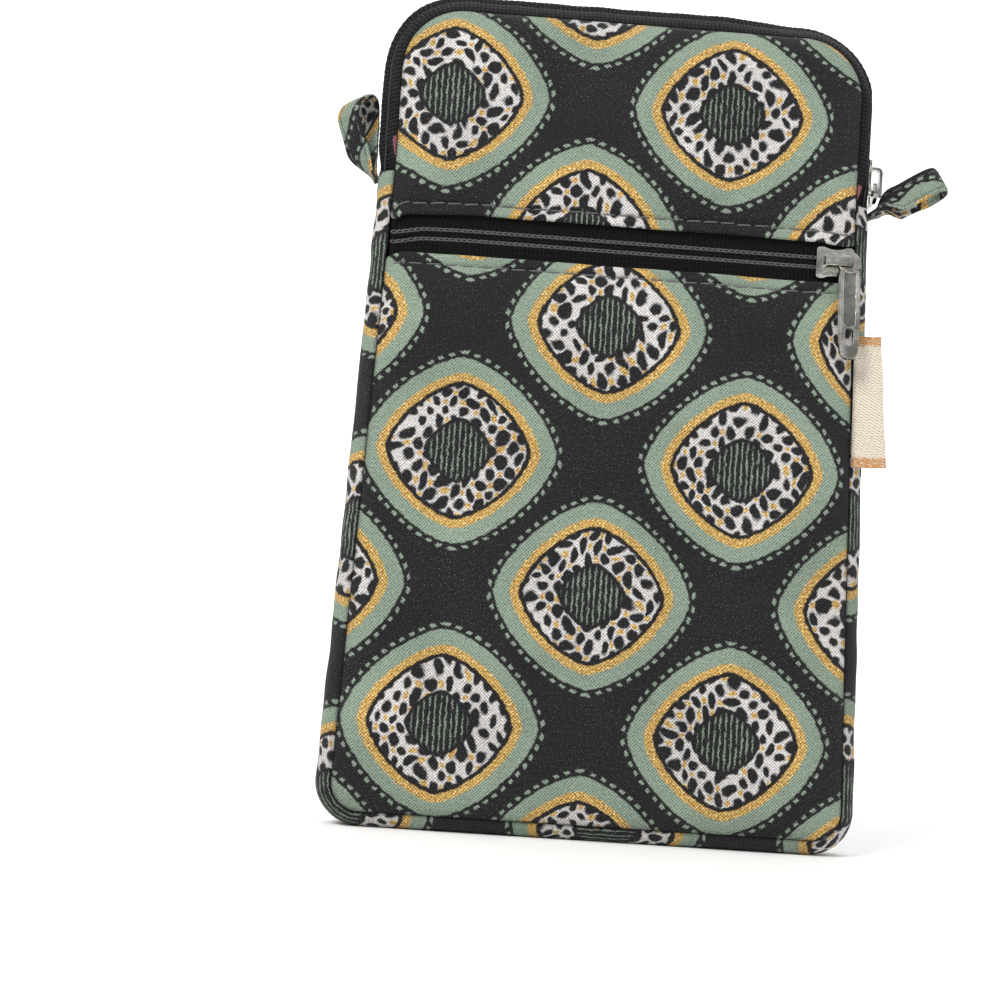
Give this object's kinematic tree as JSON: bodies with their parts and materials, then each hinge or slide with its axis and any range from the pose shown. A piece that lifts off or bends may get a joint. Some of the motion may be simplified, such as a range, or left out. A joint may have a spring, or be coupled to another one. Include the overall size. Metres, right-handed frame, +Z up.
{
  "type": "phone pouch",
  "caption": "Flat padded fabric pouch for a phone, with a zip over its top, a zipped front pocket, strap loops at both sides and a folded side label.",
  "frame": {"origin": "middle of the flat along the pouch's bottom edge", "axes": "+X to the pouch's right as the front is seen, +Y to its back, +Z up"},
  "size_m": [0.1417, 0.0377, 0.19],
  "materials": {
    "printed_canvas": "cotton canvas with a printed lattice of diamonds in charcoal, sage, gold and off-white",
    "padding_foam": "soft wadding",
    "lining_cloth": "smooth burgundy lining",
    "zip_tape": "matt black woven tape with grey stitching",
    "zip_coil": "black nylon coil",
    "nickel": "satin nickel plate on die-cast zinc",
    "woven_label": "cream woven satin with copper-gold bands"
  },
  "bodies": {
    "pouch": {"front_upper_panel": "printed_canvas", "front_lower_panel": "printed_canvas", "back_panel": "printed_canvas", "edge_band": "printed_canvas", "front_upper_filling": "padding_foam", "front_lower_filling": "padding_foam", "back_filling": "padding_foam", "band_lining": "lining_cloth", "back_lining": "lining_cloth", "pocket_front_lining": "lining_cloth", "pocket_back_lining": "lining_cloth", "main_tape_front": "zip_tape", "main_tape_back": "zip_tape", "main_coil_front": "zip_coil", "main_coil_back": "zip_coil", "pocket_tape_upper": "zip_tape", "pocket_tape_lower": "zip_tape", "pocket_coil_upper": "zip_coil", "pocket_coil_lower": "zip_coil", "left_loop_tail": "printed_canvas", "right_loop_tail": "printed_canvas"},
    "pocket_runner": {"pocket_slider": "nickel"},
    "pocket_pull": {"pocket_puller": "nickel"},
    "main_runner": {"main_slider": "nickel"},
    "main_pull": {"main_puller": "nickel"},
    "left_strap_loop": {"left_loop": "printed_canvas"},
    "right_strap_loop": {"right_loop": "printed_canvas"},
    "side_label": {"woven_label": "woven_label"}
  },
  "joints": [
    {"name": "pocket_zip_slide", "type": "slide", "parent": "pouch", "child": "pocket_runner", "axis": [1, 0, 0], "range_m": [-0.0945, 0], "deforming": ["pocket_tape_upper", "pocket_tape_lower", "pocket_coil_upper", "pocket_coil_lower"]},
    {"name": "pocket_puller_swing", "type": "hinge", "parent": "pocket_runner", "child": "pocket_pull", "pos_m": [0.05181, -0.00998, 0.1345], "axis": [0, 1, 0], "range_deg": [-80, 20]},
    {"name": "main_zip_slide", "type": "slide", "parent": "pouch", "child": "main_runner", "axis": [0, 0, 1], "range_m": [0, 0.011], "deforming": ["main_tape_front", "main_tape_back", "main_coil_front", "main_coil_back"]},
    {"name": "main_puller_swing", "type": "hinge", "parent": "main_runner", "child": "main_pull", "pos_m": [0.05853, 0, 0.1533], "axis": [1, 0, 0], "range_deg": [0, 40]},
    {"name": "left_loop_bend", "type": "hinge", "parent": "pouch", "child": "left_strap_loop", "pos_m": [-0.0573, 0, 0.1475], "axis": [0, 1, 0], "range_deg": [-60, 0], "stiffness_Nm_per_rad": 0.003},
    {"name": "right_loop_bend", "type": "hinge", "parent": "pouch", "child": "right_strap_loop", "pos_m": [0.0573, 0, 0.1475], "axis": [0, 1, 0], "range_deg": [0, 50], "stiffness_Nm_per_rad": 0.003},
    {"name": "label_bend", "type": "hinge", "parent": "pouch", "child": "side_label", "pos_m": [0.05479, -0.00845, 0.103], "axis": [-0.0312, 0, 0.9995], "range_deg": [-20, 12], "stiffness_Nm_per_rad": 0.001}
  ]
}
